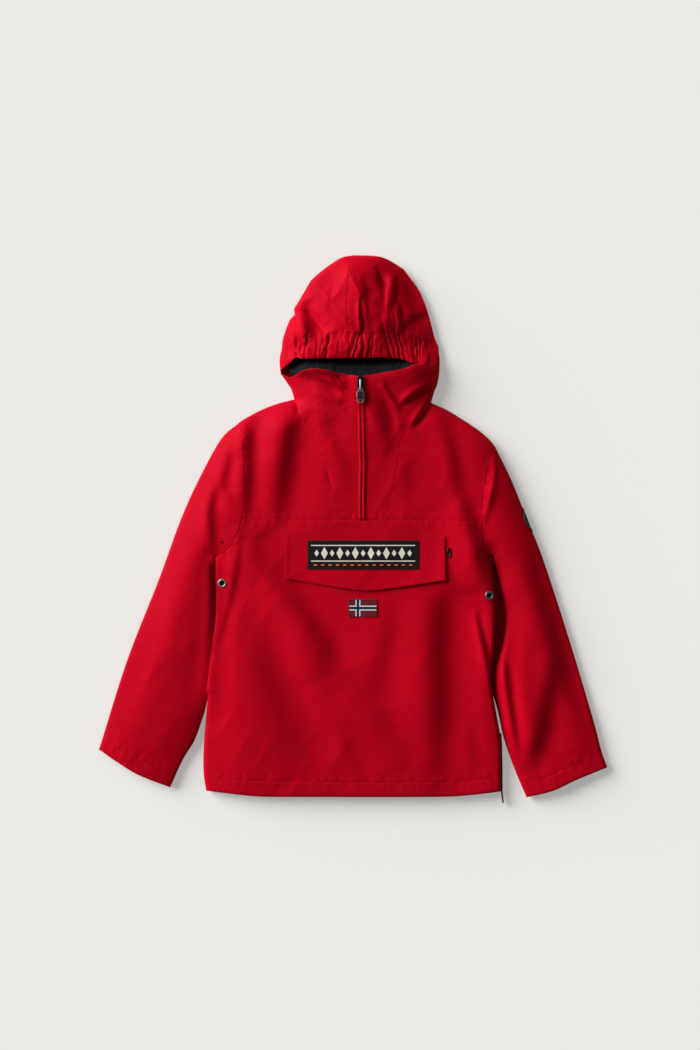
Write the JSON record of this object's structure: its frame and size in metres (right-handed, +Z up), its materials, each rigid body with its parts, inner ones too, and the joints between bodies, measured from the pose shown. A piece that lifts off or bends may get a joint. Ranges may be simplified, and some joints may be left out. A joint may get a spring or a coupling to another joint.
{
  "type": "anorak pullover",
  "caption": "Child's hooded pullover anorak with a half-length front zip, gathered hood edge, pocket flap and side zip, laid flat on its back.",
  "frame": {"origin": "middle of the bounding box, on the surface that the garment lies on", "axes": "+X to the side of the round badge across the chest, +Y from the hem to the hood, +Z up out of the front"},
  "size_m": [0.762, 0.82, 0.0482],
  "materials": {
    "shell_fabric": "matt red woven nylon with soft creases",
    "lining_fleece": "dark charcoal brushed fleece",
    "label_cloth": "black woven cloth",
    "flag_cloth": "woven flag in burgundy, white and navy",
    "zip_tape_cloth": "dark woven zip tape",
    "gunmetal": "dark plated metal, slightly worn"
  },
  "bodies": {
    "garment": {"back_panel": "shell_fabric", "eyelet_left": "gunmetal", "eyelet_right": "gunmetal", "flag_patch": "flag_cloth", "front_lower": "shell_fabric", "hood_back": "shell_fabric", "hood_brim": "shell_fabric", "hood_left": "shell_fabric", "hood_lining": "lining_fleece", "hood_right": "shell_fabric", "label_patch": "label_cloth", "neck_panel_left": "shell_fabric", "neck_panel_right": "shell_fabric", "pocket_flap": "shell_fabric", "pocket_zip_pull": "gunmetal", "side_zip": "zip_tape_cloth", "sleeve_badge": "label_cloth", "sleeve_left": "shell_fabric", "sleeve_left_back": "shell_fabric", "sleeve_left_lower": "shell_fabric", "sleeve_left_lower_back": "shell_fabric", "sleeve_right": "shell_fabric", "sleeve_right_back": "shell_fabric", "sleeve_right_lower": "shell_fabric", "sleeve_right_lower_back": "shell_fabric", "yoke_left": "shell_fabric", "yoke_right": "shell_fabric", "zip_lip_left": "shell_fabric", "zip_lip_right": "shell_fabric", "zip_slider": "gunmetal", "zip_tape": "zip_tape_cloth"},
    "front_zip_pull": {"zip_pull": "gunmetal"}
  },
  "joints": [
    {"name": "zip_pull_hinge", "type": "hinge", "parent": "garment", "child": "front_zip_pull", "pos_m": [0.011, 0.208, 0.04329], "axis": [-1, 0, 0], "range_deg": [0, 150]}
  ]
}
